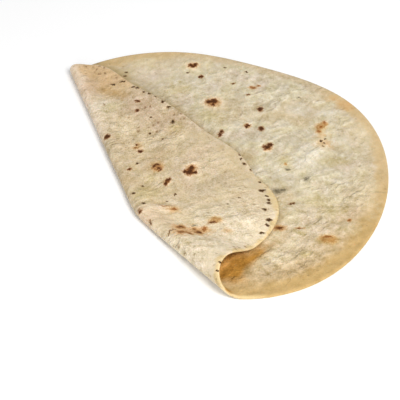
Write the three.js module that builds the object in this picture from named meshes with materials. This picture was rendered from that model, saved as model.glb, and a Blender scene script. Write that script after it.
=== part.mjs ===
// A folded paratha: one thin, hand-rolled round of griddled dough with one side turned over onto the rest.
// Millimetres, +Z up. The fold runs along Y, the turned-over flap reaches towards +X, and the loop that the
// fold leaves open faces -Y. The origin is at the bottom centre of the folded bread.
// A point of the round before folding is given by across (over the fold) and along (beside the fold).
import * as THREE from "three";

// The round of dough
const ROUND_RADIUS = 116;
const ROUND_CENTRE = { across: 5, along: 23.2 };
const SHEET_THICKNESS = 2;
const RIM_TAPER = 1.8; // the rounded edge closes over this width
// Hand-rolled unevenness: how many lobes go round the edge, how deep they are, where the first one faces
const OUTLINE_LOBES = [
  { count: 2, depth: 2.9, facing: 56 },
  { count: 3, depth: 4.6, facing: -33 },
  { count: 4, depth: 3.8, facing: 11 },
];
// The corner drawn out at the closed end of the fold, and the edge drawn in: a little half way along the flap,
// and more at the open end
const OUTLINE_PULLS = [
  { height: 8.8, facing: 112, spread: 9 },
  { height: -4.6, facing: 167, spread: 13 },
  { height: -13.5, facing: -123, spread: 21.5 },
];
// The stretch of the outline that becomes the flap's edge
const FLAP_DIRECTIONS = { corner: 112, mouth: 255 };

// The fold: its outer edge in plan is two nearly straight runs that meet at a soft knee
const KNEE = { across: -38.8, along: 1.6 };
const KNEE_SOFTNESS = 5;
const SLANT_TO_CORNER = 0.12;
const SLANT_TO_MOUTH = -0.2;
// The bend's radius at mid thickness, pressed tight above the knee and wide at the open mouth
const TIGHT_RADIUS = 2.4;
const MOUTH_RADIUS = 8;
const TIGHT_FROM = -5;
const MOUTH_AT = -82;
// The flap slopes down from the bend and then lies on the base
const LAYER_GAP = 0.4;
const SHORTEST_LANDING = 4;
const LANDING_PER_DROP = 2.8;
const S_CURVE_STRETCH = 0.6; // an S-curve is longer than its run by this share of its squared steepness

// Where the rim has curled up off the table: height, direction, and spread in degrees
const RIM_CURLS = [
  { height: 2.2, facing: 63, spread: 17 },
  { height: 1.6, facing: 8, spread: 20 },
  { height: 2.0, facing: -52, spread: 19 },
];
const CURL_SPAN = { from: 0.7, to: 1.1 }; // shares of the round's radius
// The flap swells softly between the places where it touches the base
const FLAP_SWELL = 0.9;
const FLAP_SWELL_LENGTH = 64;
const FLAP_SWELL_RAMP = 30;
// Low ripples of the skin: height, wave length, and the direction that they run in
const SKIN_RIPPLES = [
  { height: 0.26, length: 47, facing: 35 },
  { height: 0.18, length: 36, facing: -50 },
  { height: 0.14, length: 41, facing: 100 },
];
const RIPPLE_FADE = 9; // ripples fade in over this distance from the rim, the bend and the flap's edge

// Mesh: rings and spokes round the middle of the round. Spokes crowd where the rim runs round the bend, and
// rings gather along the fold
const SPOKE_ZONES = [
  { from: -98, to: 98, spokes: 34 },
  { from: 98, to: 113, spokes: 18 },
  { from: 113, to: 170, spokes: 10 },
  { from: 170, to: 228, spokes: 16 },
  { from: 228, to: 262, spokes: 24 },
];
const RING_STEPS = { base: 9, bend: 7, landing: 3, flap: 6, rim: 3 };
const RIM_STEP_WIDTH = 2.4;
const BASE_SECTOR = 98; // spokes within this many degrees of +X stay on the base
const RELAXING = 30; // degrees into that sector over which the rings spread out evenly
const LEAST_RELAXED = 0.06;
const BISECTIONS = 40;
const TANGENT_STEP = 0.01;

const radians = THREE.MathUtils.degToRad;
const MID_HEIGHT = SHEET_THICKNESS / 2;

function smooth(value, from, to) {
  return THREE.MathUtils.smoothstep(value, from, to);
}

// A bell of height 1 round a direction, in degrees.
function bell(degrees, facing, spread) {
  const away = THREE.MathUtils.euclideanModulo(degrees - facing + 180, 360) - 180;
  return Math.exp(-((away / spread) ** 2));
}

// The round's outline, as a distance from its centre in a direction given in degrees.
function outlineRadius(degrees) {
  let radius = ROUND_RADIUS;
  for (const { count, depth, facing } of OUTLINE_LOBES) {
    radius += depth * Math.cos(radians(count * (degrees - facing)));
  }
  for (const { height, facing, spread } of OUTLINE_PULLS) {
    radius += height * bell(degrees, facing, spread);
  }
  return radius;
}

// The point of the round at a distance from its centre.
function roundPoint(degrees, distance) {
  return {
    across: ROUND_CENTRE.across + distance * Math.cos(radians(degrees)),
    along: ROUND_CENTRE.along + distance * Math.sin(radians(degrees)),
  };
}

// How far inside the outline a point of the round lies.
function insideOutline({ across, along }) {
  const dx = across - ROUND_CENTRE.across;
  const dy = along - ROUND_CENTRE.along;
  return outlineRadius(THREE.MathUtils.radToDeg(Math.atan2(dy, dx))) - Math.hypot(dx, dy);
}

// The fold's outer edge in plan.
function foldEdge(along) {
  const past = along - KNEE.along;
  const softPast = (past + Math.hypot(past, KNEE_SOFTNESS)) / 2;
  return KNEE.across + SLANT_TO_MOUTH * past + (SLANT_TO_CORNER - SLANT_TO_MOUTH) * softPast;
}

function bendRadius(along) {
  return THREE.MathUtils.lerp(MOUTH_RADIUS, TIGHT_RADIUS, smooth(along, MOUTH_AT, TIGHT_FROM));
}

// Sizes of the fold's section at one distance along it.
function foldSizes(along) {
  const radius = bendRadius(along);
  const drop = 2 * radius - SHEET_THICKNESS - LAYER_GAP;
  const landingRun = SHORTEST_LANDING + LANDING_PER_DROP * drop;
  const landingLength = landingRun * (1 + S_CURVE_STRETCH * (drop / landingRun) ** 2);
  return {
    radius,
    drop,
    landingRun,
    landingLength,
    bendLength: Math.PI * radius,
    bendStart: foldEdge(along) + radius,
  };
}

// The middle of the sheet, seen along the fold, at a length past the start of the bend: a negative length is
// on the base, then come the bend, the landing and the flat of the flap.
function sectionPoint(length, sizes) {
  if (length < 0) return new THREE.Vector2(sizes.bendStart - length, MID_HEIGHT);
  if (length < sizes.bendLength) {
    const turn = length / sizes.radius;
    return new THREE.Vector2(
      sizes.bendStart - sizes.radius * Math.sin(turn),
      MID_HEIGHT + sizes.radius * (1 - Math.cos(turn)),
    );
  }
  const past = length - sizes.bendLength;
  const share = Math.min(past / sizes.landingLength, 1);
  const flat = Math.max(past - sizes.landingLength, 0);
  return new THREE.Vector2(
    sizes.bendStart + sizes.landingRun * share + flat,
    MID_HEIGHT + 2 * sizes.radius - sizes.drop * smooth(share, 0, 1),
  );
}

// Halves an interval until it closes on the place where a rising measure passes zero.
function bisect(measure, lowEnd, highEnd) {
  let low = lowEnd;
  let high = highEnd;
  for (let i = 0; i < BISECTIONS; i++) {
    const middle = (low + high) / 2;
    if (measure(middle) < 0) low = middle;
    else high = middle;
  }
  return (low + high) / 2;
}

// How far towards +X the flap covers the base.
function flapReach(along, sizes) {
  const edgePoint = (degrees) => roundPoint(degrees, outlineRadius(degrees));
  const short = (degrees) => edgePoint(degrees).along - along;
  const direction = bisect(short, FLAP_DIRECTIONS.mouth, FLAP_DIRECTIONS.corner);
  return sectionPoint(sizes.bendStart - edgePoint(direction).across, sizes).x;
}

// The direction out of the sheet's inner face, the one that is on top where the sheet isn't turned over.
function sectionNormal(length, sizes) {
  const ahead = sectionPoint(length + TANGENT_STEP, sizes);
  const tangent = ahead.sub(sectionPoint(length - TANGENT_STEP, sizes)).normalize();
  return new THREE.Vector2(tangent.y, -tangent.x);
}

// How far the table's side of the bread is lifted at a place in plan. Both layers share it.
function curlHeight(x, along) {
  const dx = x - ROUND_CENTRE.across;
  const dy = along - ROUND_CENTRE.along;
  const degrees = THREE.MathUtils.radToDeg(Math.atan2(dy, dx));
  const ramp = smooth(Math.hypot(dx, dy) / ROUND_RADIUS, CURL_SPAN.from, CURL_SPAN.to);
  let height = 0;
  for (const curl of RIM_CURLS) height += curl.height * bell(degrees, curl.facing, curl.spread);
  return height * ramp;
}

function swellHeight(length, along, sizes) {
  const flat = length - sizes.bendLength - sizes.landingLength;
  const wave = 0.5 - 0.5 * Math.cos((2 * Math.PI * along) / FLAP_SWELL_LENGTH);
  return FLAP_SWELL * wave * smooth(flat, 0, FLAP_SWELL_RAMP);
}

function rippleHeight({ across, along }) {
  let height = 0;
  for (const ripple of SKIN_RIPPLES) {
    const facing = radians(ripple.facing);
    const distance = across * Math.cos(facing) + along * Math.sin(facing);
    height += ripple.height * Math.sin((2 * Math.PI * distance) / ripple.length);
  }
  return height;
}

// One place on the folded sheet. The inner face is on top of the base and under the flap.
function sheetPoint(place, onInnerFace, onRim) {
  const sizes = foldSizes(place.along);
  const length = sizes.bendStart - place.across;
  const middle = sectionPoint(length, sizes);
  const normal = sectionNormal(length, sizes);
  const inside = insideOutline(place);
  const fromRim = Math.min(inside / RIM_TAPER, 1);
  const half = onRim ? 0 : MID_HEIGHT * Math.sqrt(1 - (1 - fromRim) ** 2);
  // Ripples only where the skin shows: beside the flap on the base, and on top of the flap
  const bare = onInnerFace
    ? smooth(middle.x - flapReach(place.along, sizes), 0, RIPPLE_FADE) * smooth(-length, 0, RIPPLE_FADE)
    : smooth(length - sizes.bendLength, 0, RIPPLE_FADE);
  const ripple = rippleHeight(place) * bare * smooth(inside, 0, RIPPLE_FADE);
  const offset = onInnerFace ? half + ripple : -half - ripple;
  const lift = curlHeight(middle.x, place.along) + swellHeight(length, place.along, sizes);
  return new THREE.Vector3(
    middle.x + normal.x * offset,
    place.along,
    middle.y + normal.y * offset + lift,
  );
}

// How far out a spoke passes a stage of the fold, which is a length past the start of the bend.
function stageDistance(degrees, stageLength) {
  const past = (distance) => {
    const place = roundPoint(degrees, distance);
    const sizes = foldSizes(place.along);
    return sizes.bendStart - place.across - stageLength(sizes);
  };
  const furthest = 2 * ROUND_RADIUS;
  return past(furthest) < 0 ? furthest : bisect(past, 0, furthest);
}

// Where the rings cross one spoke, from the middle of the round to its rim.
function ringStops(degrees) {
  const rim = outlineRadius(degrees);
  const rimStart = rim - RIM_STEP_WIDTH;
  const intoBaseSector = BASE_SECTOR - Math.abs(degrees);
  const relaxed = THREE.MathUtils.lerp(LEAST_RELAXED, 1, smooth(intoBaseSector, 0, RELAXING));
  const foldSteps = RING_STEPS.base + RING_STEPS.bend + RING_STEPS.landing + RING_STEPS.flap;
  const bendEnd = (sizes) => sizes.bendLength;
  const landingEnd = (sizes) => sizes.bendLength + sizes.landingLength;
  const stages = [
    { steps: RING_STEPS.base, end: stageDistance(degrees, () => 0) },
    { steps: RING_STEPS.bend, end: stageDistance(degrees, bendEnd) },
    { steps: RING_STEPS.landing, end: stageDistance(degrees, landingEnd) },
    { steps: RING_STEPS.flap, end: rimStart },
    { steps: RING_STEPS.rim, end: rim },
  ];
  const stops = [0];
  let stepsLeft = foldSteps;
  for (const { steps, end } of stages) {
    stepsLeft -= steps;
    // A stage that the spoke doesn't reach stops short, with room left for the stages after it
    const latest = stepsLeft < 0 ? rim : rimStart * (1 - (relaxed * stepsLeft) / foldSteps);
    const from = stops.at(-1);
    const to = Math.min(end, latest);
    for (let i = 1; i <= steps; i++) stops.push(THREE.MathUtils.lerp(from, to, i / steps));
  }
  return stops;
}

function spokeDirections() {
  return SPOKE_ZONES.flatMap(({ from, to, spokes }) =>
    Array.from({ length: spokes }, (_, i) => THREE.MathUtils.lerp(from, to, i / spokes)),
  );
}

// Splits each four-sided patch of the grid in two, along the diagonal that lies closer to the true surface.
function patchTriangles(grid, rings) {
  const triangles = [];
  for (let row = 0; row < 2 * rings; row++) {
    for (let column = 0; column + 1 < grid[row].length; column++) {
      const upperLeft = grid[row][column];
      const upperRight = grid[row][column + 1];
      const lowerLeft = grid[row + 1][column];
      const lowerRight = grid[row + 1][column + 1];
      const corners = [upperLeft, upperRight, lowerLeft, lowerRight];
      const middle = {
        across: corners.reduce((sum, corner) => sum + corner.place.across, 0) / corners.length,
        along: corners.reduce((sum, corner) => sum + corner.place.along, 0) / corners.length,
      };
      const surface = sheetPoint(middle, row < rings, false);
      const falling = upperLeft.point.clone().lerp(lowerRight.point, 0.5).distanceTo(surface);
      const rising = upperRight.point.clone().lerp(lowerLeft.point, 0.5).distanceTo(surface);
      const alongFalling = falling < rising;
      // The patches at the middle of each face are triangles already
      if (row < 2 * rings - 1) triangles.push(lowerLeft, lowerRight, alongFalling ? upperLeft : upperRight);
      if (row > 0) triangles.push(upperRight, upperLeft, alongFalling ? lowerRight : lowerLeft);
    }
  }
  return triangles.map((corner) => corner.index);
}

// A sphere's rings and spokes, moved onto the folded sheet: its upper half is the inner face, its equator the
// rim, and its lower half the outer face.
function breadGeometry() {
  const directions = spokeDirections();
  const spokes = directions.length;
  const rings = Object.values(RING_STEPS).reduce((sum, steps) => sum + steps, 0);
  const geometry = new THREE.SphereGeometry(1, spokes, 2 * rings);
  const position = geometry.getAttribute("position");
  const grid = Array.from({ length: 2 * rings + 1 }, () => []);

  for (let column = 0; column <= spokes; column++) {
    const degrees = directions[column % spokes];
    const stops = ringStops(degrees);
    for (let row = 0; row <= 2 * rings; row++) {
      const onInnerFace = row <= rings;
      const ring = onInnerFace ? row : 2 * rings - row;
      const place = roundPoint(degrees, stops[ring]);
      const point = sheetPoint(place, onInnerFace, ring === rings);
      const index = row * (spokes + 1) + column;
      position.setXYZ(index, point.x, point.y, point.z);
      grid[row].push({ index, place, point });
    }
  }
  geometry.setIndex(patchTriangles(grid, rings));
  geometry.deleteAttribute("uv");
  geometry.computeVertexNormals();
  return geometry;
}

// Moves a geometry so that the origin is at the bottom centre of its box.
function standOnOrigin(geometry) {
  geometry.computeBoundingBox();
  const centre = geometry.boundingBox.getCenter(new THREE.Vector3());
  geometry.translate(-centre.x, -centre.y, -geometry.boundingBox.min.z);
  return geometry;
}

const dough = new THREE.MeshStandardMaterial({ color: 0xd6c19b, roughness: 0.85, metalness: 0 });

const paratha = new THREE.Mesh(standOnOrigin(breadGeometry()), dough);
paratha.name = "paratha";

const group = new THREE.Group();
group.add(paratha);

export default group;
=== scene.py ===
"""The looks of a folded paratha: a thin round of griddled dough, one side turned over onto the rest.

The sheet is worked out in millimetres before folding, as across (over the fold) and along (beside the fold),
and bent round the fold. Places that were read off the photograph are pixels of its 400 x 400 frame.
"""

import math

import bpy
import numpy as np
from mathutils import Matrix, Vector


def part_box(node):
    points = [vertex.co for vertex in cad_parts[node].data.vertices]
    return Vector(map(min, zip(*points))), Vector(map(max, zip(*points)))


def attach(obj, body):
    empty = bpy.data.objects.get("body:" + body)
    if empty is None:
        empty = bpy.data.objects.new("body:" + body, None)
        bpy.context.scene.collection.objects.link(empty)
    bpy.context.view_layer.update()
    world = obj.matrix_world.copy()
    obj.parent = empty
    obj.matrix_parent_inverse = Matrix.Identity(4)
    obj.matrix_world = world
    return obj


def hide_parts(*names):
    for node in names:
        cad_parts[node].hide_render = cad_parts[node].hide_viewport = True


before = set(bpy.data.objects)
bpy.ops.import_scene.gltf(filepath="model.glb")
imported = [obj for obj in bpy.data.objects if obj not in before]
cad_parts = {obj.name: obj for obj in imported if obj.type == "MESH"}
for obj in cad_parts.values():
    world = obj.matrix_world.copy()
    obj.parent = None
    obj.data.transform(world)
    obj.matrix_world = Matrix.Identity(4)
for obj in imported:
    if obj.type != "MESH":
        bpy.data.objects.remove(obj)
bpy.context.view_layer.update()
BREAD_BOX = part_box("paratha")
MM = 0.001

# The round of dough
ROUND_RADIUS = 116
ROUND_CENTRE = (5, 23.2)
SHEET_THICKNESS = 2
MID_HEIGHT = SHEET_THICKNESS / 2
RIM_TAPER = 1.8
# Lobes round the edge as count, depth and facing; pulls of the edge as height, facing and spread
OUTLINE_LOBES = [(2, 2.9, 56), (3, 4.6, -33), (4, 3.8, 11)]
OUTLINE_PULLS = [(8.8, 112, 9), (-4.6, 167, 13), (-13.5, -123, 21.5)]
# Directions between which the flap's edge lies
FLAP_FROM_CORNER = 112
FLAP_TO_MOUTH = 255

# The fold: two slanting stretches that meet in a soft knee, tight at the corner and open at the mouth
KNEE_ACROSS = -38.8
KNEE_ALONG = 1.6
KNEE_SOFTNESS = 5
SLANT_TO_CORNER = 0.12
SLANT_TO_MOUTH = -0.2
TIGHT_RADIUS = 2.4
TIGHT_FROM = -5
MOUTH_RADIUS = 8
MOUTH_AT = -82
LAYER_GAP = 0.4
SHORTEST_LANDING = 4
LANDING_PER_DROP = 2.8
S_CURVE_STRETCH = 0.6

# Curls of the rim as height, facing and spread, which rise between two shares of the radius
RIM_CURLS = [(2.2, 63, 17), (1.6, 8, 20), (2, -52, 19)]
CURL_FROM = 0.7
CURL_TO = 1.1
# The flap's swell, and ripples of the skin as height, length and facing
FLAP_SWELL = 0.9
FLAP_SWELL_LENGTH = 64
FLAP_SWELL_RAMP = 30
SKIN_RIPPLES = [(0.26, 47, 35), (0.18, 36, -50), (0.14, 41, 100)]
RIPPLE_FADE = 9

# The mesh: spokes as from, to and count, crowded where the rim runs round the bend
SPOKE_ZONES = [(-98, 98, 260), (98, 113, 50), (113, 170, 50), (170, 228, 70), (228, 262, 80)]
BASE_RINGS = 26
BEND_RINGS = 18
LANDING_RINGS = 14
FLAP_RINGS = 30
RIM_RINGS = 8
RIM_STEP_WIDTH = 2.4
# Spokes in the base's sector don't cross the fold, so their rings spread out, over some degrees from its ends
BASE_SECTOR = 98
RELAXING = 30
LEAST_RELAXED = 0.06
# How finely places and slopes are worked out
BISECTIONS = 40
TANGENT_STEP = 0.01

# The photograph's camera
PHOTO_PIXELS = 400
PHOTO_MIDDLE = PHOTO_PIXELS / 2
CAMERA_DISTANCE = 970
CAMERA_ELEVATION = math.radians(40)
CAMERA_TURN = math.radians(24.74)
MM_PER_PIXEL = 0.57
FOCAL_PIXELS = CAMERA_DISTANCE / MM_PER_PIXEL
SENSOR_WIDTH = 36
# Rounds in which the height that a pixel shows settles
BASE_PLACE_ROUNDS = 4
FLAP_PLACE_ROUNDS = 24


def smooth(value, start, end):
    """A smooth step from 0 at a start to 1 at an end."""
    share = np.clip((value - start) / (end - start), 0, 1)
    return share * share * (3 - 2 * share)


def bell(degrees, facing, spread):
    """A round rise to 1 at a facing, fading out either way."""
    away = np.mod(degrees - facing + 180, 360) - 180
    return np.exp(-((away / spread) ** 2))


def outline_radius(degrees):
    radius = ROUND_RADIUS + 0 * degrees
    for count, depth, facing in OUTLINE_LOBES:
        radius = radius + depth * np.cos(np.radians(count * (degrees - facing)))
    for height, facing, spread in OUTLINE_PULLS:
        radius = radius + height * bell(degrees, facing, spread)
    return radius


def round_point(degrees, distance):
    turn = np.radians(degrees)
    return ROUND_CENTRE[0] + distance * np.cos(turn), ROUND_CENTRE[1] + distance * np.sin(turn)


def from_centre(x, y):
    """Direction in degrees and distance of a place from the round's centre."""
    dx = x - ROUND_CENTRE[0]
    dy = y - ROUND_CENTRE[1]
    return np.degrees(np.arctan2(dy, dx)), np.hypot(dx, dy)


def inside_outline(across, along):
    """How far inside the round's edge a flat place is."""
    degrees, distance = from_centre(across, along)
    return outline_radius(degrees) - distance


class Fold:
    """Sizes of the fold's section at places along it."""

    def __init__(self, along):
        past = along - KNEE_ALONG
        soft_past = (past + np.hypot(past, KNEE_SOFTNESS)) / 2
        edge = KNEE_ACROSS + SLANT_TO_MOUTH * past + (SLANT_TO_CORNER - SLANT_TO_MOUTH) * soft_past
        opening = 1 - smooth(along, MOUTH_AT, TIGHT_FROM)
        self.radius = TIGHT_RADIUS + (MOUTH_RADIUS - TIGHT_RADIUS) * opening
        self.drop = 2 * self.radius - SHEET_THICKNESS - LAYER_GAP
        self.landing_run = SHORTEST_LANDING + LANDING_PER_DROP * self.drop
        self.landing_length = self.landing_run * (1 + S_CURVE_STRETCH * (self.drop / self.landing_run) ** 2)
        self.bend_length = math.pi * self.radius
        self.bend_start = edge + self.radius

    def section(self, length):
        """Middle of the sheet at a length past the bend's start, as x and z."""
        turn = np.clip(length / self.radius, 0, math.pi)
        past = np.maximum(length - self.bend_length, 0)
        share = np.minimum(past / self.landing_length, 1)
        flat = np.maximum(past - self.landing_length, 0)
        x = self.bend_start - np.minimum(length, 0) - self.radius * np.sin(turn)
        x = x + self.landing_run * share + flat
        z = MID_HEIGHT + self.radius * (1 - np.cos(turn)) - self.drop * smooth(share, 0, 1)
        return x, z

    def normal(self, length):
        """Direction out of the inner face, the one on top where the sheet isn't turned over."""
        x_ahead, z_ahead = self.section(length + TANGENT_STEP)
        x_behind, z_behind = self.section(length - TANGENT_STEP)
        dx = x_ahead - x_behind
        dz = z_ahead - z_behind
        size = np.hypot(dx, dz)
        return dz / size, -dx / size

    def length_at(self, x):
        """Length past the bend's start at which the top of the bend, the landing or the flap is over x."""
        beyond = x - self.bend_start
        turn = math.pi - np.arcsin(np.clip(-beyond / (self.radius + MID_HEIGHT), 0, 1))
        share = np.clip(beyond / self.landing_run, 0, 1)
        return self.radius * turn + share * self.landing_length + np.maximum(beyond - self.landing_run, 0)


def bisect(measure, low, high):
    """Closes on the place where a rising measure passes zero."""
    for _ in range(BISECTIONS):
        middle = (low + high) / 2
        short = measure(middle) < 0
        low = np.where(short, middle, low)
        high = np.where(short, high, middle)
    return (low + high) / 2


def flap_reach(along, fold):
    """How far towards +X the flap covers the base."""

    def short(degrees):
        return round_point(degrees, outline_radius(degrees))[1] - along

    direction = bisect(short, np.full_like(along, FLAP_TO_MOUTH), np.full_like(along, FLAP_FROM_CORNER))
    edge_across = round_point(direction, outline_radius(direction))[0]
    return fold.section(fold.bend_start - edge_across)[0]


def curl_height(x, along):
    degrees, distance = from_centre(x, along)
    ramp = smooth(distance / ROUND_RADIUS, CURL_FROM, CURL_TO)
    return ramp * sum(height * bell(degrees, facing, spread) for height, facing, spread in RIM_CURLS)


def swell_height(length, along, fold):
    flat = length - fold.bend_length - fold.landing_length
    swell = 0.5 - 0.5 * np.cos(2 * math.pi * along / FLAP_SWELL_LENGTH)
    return FLAP_SWELL * swell * smooth(flat, 0, FLAP_SWELL_RAMP)


def wave(across, along, turn, length, start=0):
    """A sine wave of a length that runs in a direction over the flat round."""
    distance = across * math.cos(turn) + along * math.sin(turn)
    return np.sin(2 * math.pi * distance / length + start)


def ripple_height(across, along):
    height = 0 * across
    for size, length, facing in SKIN_RIPPLES:
        height = height + size * wave(across, along, math.radians(facing), length)
    return height


# From a pixel of the photograph to the bread
def table_point(pixel, height):
    """Where the photograph's camera sees a pixel, at a height over the table."""
    right = (pixel[0] - PHOTO_MIDDLE) / FOCAL_PIXELS
    up = (PHOTO_MIDDLE - pixel[1]) / FOCAL_PIXELS
    sine = math.sin(CAMERA_ELEVATION)
    cosine = math.cos(CAMERA_ELEVATION)
    away = (up * (CAMERA_DISTANCE - height * sine) - height * cosine) / (sine - up * cosine)
    sideways = right * (CAMERA_DISTANCE + away * cosine - height * sine)
    turn_cosine = math.cos(CAMERA_TURN)
    turn_sine = math.sin(CAMERA_TURN)
    return turn_cosine * sideways + turn_sine * away, turn_cosine * away - turn_sine * sideways


def base_place(pixel):
    """Flat place of a pixel that shows the top of the base."""
    height = SHEET_THICKNESS
    for _ in range(BASE_PLACE_ROUNDS):
        x, y = table_point(pixel, height)
        height = SHEET_THICKNESS + float(curl_height(x, y))
    return x, y


def flap_place(pixel):
    """Flat place of a pixel that shows the top of the flap."""
    height = 2 * SHEET_THICKNESS
    for _ in range(FLAP_PLACE_ROUNDS):
        x, y = table_point(pixel, height)
        fold = Fold(np.float64(y))
        length = fold.length_at(x)
        lift = curl_height(x, y) + swell_height(length, y, fold)
        surface = float(fold.section(length)[1] - MID_HEIGHT * fold.normal(length)[1] + lift)
        # Half a step at a time settles on the steep bend too
        height = (height + surface) / 2
    return float(fold.bend_start - length), y


# Relief of the skin, in millimetres: lumps of uneven rolling, fine pleats and strewn creases
LUMPS = {"seed": 5, "lengths": (9, 26), "height": 0.1}
BASE_PLEATS = {"seed": 31, "facing": 30, "gap": 4.8, "height": 0.13}
FLAP_PLEATS = {"seed": 47, "facing": 8, "gap": 5.6, "height": 0.09}
PLEAT_DRIFT = 3.4
PLEAT_DRIFT_LENGTHS = (22, 44)
PLEAT_PATCH_LENGTHS = (34, 70)
PLEAT_PATCH_SPAN = (-0.5, 0.7)
WAVES = 22
BASE_CREASES = {"seed": 11, "count": 150, "facing": 30}
FLAP_CREASES = {"seed": 23, "count": 90, "facing": 8}
CREASE_REACH = 108
CREASE_SWERVE = 38
CREASE_HALF_LENGTH = (3, 11)
CREASE_HALF_WIDTH = (1.2, 2.6)
CREASE_HEIGHT = (-0.22, 0.24)
# Single ridges and valleys, each from one pixel to another, with its half width and its height
BASE_RIDGES = [
    ((295, 166), (332, 141), 3.4, 0.5), ((316, 167), (343, 151), 2.6, -0.45),
    ((314, 119), (326, 111), 1.8, 0.4), ((326, 111), (341, 119), 1.8, 0.4),
    ((316, 178), (346, 171), 2.2, 0.35), ((255, 139), (283, 124), 1.5, 0.3),
    ((282, 188), (262, 168), 2.4, -0.35), ((250, 150), (292, 132), 1.5, 0.28),
    ((300, 206), (340, 200), 2.2, 0.3), ((268, 262), (302, 250), 2, 0.35),
    ((274, 271), (312, 259), 1.8, -0.3), ((288, 246), (326, 240), 2, 0.3),
    ((326, 214), (356, 206), 1.8, 0.3), ((330, 224), (358, 217), 1.6, -0.28),
    ((249, 264), (263, 276), 1.2, 0.5), ((254, 261), (269, 269), 1.2, 0.45),
    ((246, 273), (256, 283), 1.2, 0.4), ((262, 256), (275, 261), 1.3, 0.4),
    ((271, 250), (282, 257), 1.3, 0.4), ((296, 257), (311, 252), 1.5, 0.4),
    ((300, 264), (317, 259), 1.4, 0.35), ((283, 258), (295, 264), 1.3, 0.4),
    ((312, 253), (326, 247), 1.5, 0.35), ((276, 277), (291, 272), 1.3, 0.35),
    ((258, 274), (273, 281), 1.3, 0.4), ((286, 241), (301, 235), 1.5, 0.35),
    ((340, 232), (352, 224), 1.4, 0.35), ((344, 214), (356, 222), 1.4, 0.35),
    ((352, 200), (362, 208), 1.4, 0.35),
]
FLAP_RIDGES = [
    ((134, 212), (172, 207), 2.2, 1), ((100, 90), (131, 97), 1.8, -0.5),
    ((97, 84), (126, 89), 2, 0.45), ((150, 222), (171, 229), 1.6, -0.35),
    ((196, 200), (246, 190), 3, 0.3),
]
# Shares of a ridge's length over which it rises from the skin and sinks back into it
RIDGE_RISE = (-0.15, 0.3)
RIDGE_FALL = (0.6, 1.1)
BLISTER_KINDS = ("halo", "gold")
BLISTER_HEIGHT = 0.35
BLISTER_SPREAD = 1.2


def waves(across, along, seed, lengths):
    """A smooth uneven field, mostly between -1 and 1, from waves of seeded lengths and directions."""
    draw = np.random.default_rng(seed)
    total = 0 * across
    for _ in range(WAVES):
        turn = draw.uniform(0, 2 * math.pi)
        length = draw.uniform(*lengths)
        start = draw.uniform(0, 2 * math.pi)
        total = total + wave(across, along, turn, length, start)
    return total / math.sqrt(WAVES)


def pleat_height(across, along, pleats):
    """Fine pleats that run one way, drift, and come and go in patches."""
    turn = math.radians(pleats["facing"])
    crosswise = along * math.cos(turn) - across * math.sin(turn)
    drift = PLEAT_DRIFT * waves(across, along, pleats["seed"], PLEAT_DRIFT_LENGTHS)
    patch = smooth(waves(across, along, pleats["seed"] + 1, PLEAT_PATCH_LENGTHS), *PLEAT_PATCH_SPAN)
    return pleats["height"] * patch * np.sin(2 * math.pi * (crosswise + drift) / pleats["gap"])


def crease_height(across, along, creases):
    """Short shallow creases and ridges, strewn by a seeded rule, mostly running one way."""
    draw = np.random.default_rng(creases["seed"])
    height = 0 * across
    for _ in range(creases["count"]):
        place = round_point(draw.uniform(0, 360), CREASE_REACH * math.sqrt(draw.uniform()))
        turn = math.radians(creases["facing"] + draw.normal() * CREASE_SWERVE)
        half_length = draw.uniform(*CREASE_HALF_LENGTH)
        half_width = draw.uniform(*CREASE_HALF_WIDTH)
        size = draw.uniform(*CREASE_HEIGHT)
        dx = across - place[0]
        dy = along - place[1]
        lengthwise = (dx * math.cos(turn) + dy * math.sin(turn)) / half_length
        crosswise = (dy * math.cos(turn) - dx * math.sin(turn)) / half_width
        height = height + size * np.exp(-(lengthwise**2) - crosswise**2)
    return height


def ridge_height(across, along, side):
    height = 0 * across
    for first, last, half_width, size in side.ridges:
        start = np.array(side.to_place(first))
        run = np.array(side.to_place(last)) - start
        length = np.linalg.norm(run)
        dx = across - start[0]
        dy = along - start[1]
        share = (dx * run[0] + dy * run[1]) / length**2
        aside = (dy * run[0] - dx * run[1]) / length
        fade = smooth(share, *RIDGE_RISE) * (1 - smooth(share, *RIDGE_FALL))
        height = height + size * fade * np.exp(-((aside / half_width) ** 2))
    return height


def blister_height(across, along, side):
    height = 0 * across
    spots = [spot for kind in BLISTER_KINDS for spot in side.spots[kind]]
    for spot in spots:
        spread = BLISTER_SPREAD * spot.half_size
        away = np.hypot(across - spot.place[0], along - spot.place[1]) / spread
        height = height + BLISTER_HEIGHT * np.exp(-(away**2))
    return height


def skin_relief(across, along, side):
    height = LUMPS["height"] * waves(across, along, LUMPS["seed"], LUMPS["lengths"])
    height = height + pleat_height(across, along, side.pleats)
    height = height + crease_height(across, along, side.creases)
    height = height + ridge_height(across, along, side)
    return height + blister_height(across, along, side)


# The two faces of the sheet, and the spots on them
class Side:
    """One face: how its pixels are placed, its axes square to the photograph, its relief and its spots."""

    def __init__(self, to_place, turn, pleats, creases, ridges, spot_rows):
        self.to_place = to_place
        self.wide = (math.cos(turn), math.sin(turn), 0)
        self.deep = (-math.sin(turn), math.cos(turn), 0)
        self.pleats = pleats
        self.creases = creases
        self.ridges = ridges
        self.spots = {}
        for kind, rows in spot_rows.items():
            self.spots[kind] = [Spot(self, (x, y), width, depth) for x, y, width, depth in rows]


class Spot:
    """An oval, square to the photograph, with the scale and shift that put its edge 1 from its middle."""

    def __init__(self, side, pixel, width, depth):
        self.place = side.to_place(pixel)
        self.scale = (2 / width, 2 / depth, 0)
        self.shift = (
            -np.dot(self.place, side.wide[:2]) * self.scale[0],
            -np.dot(self.place, side.deep[:2]) * self.scale[1],
            0,
        )
        self.half_size = (width + depth) / 4


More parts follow.
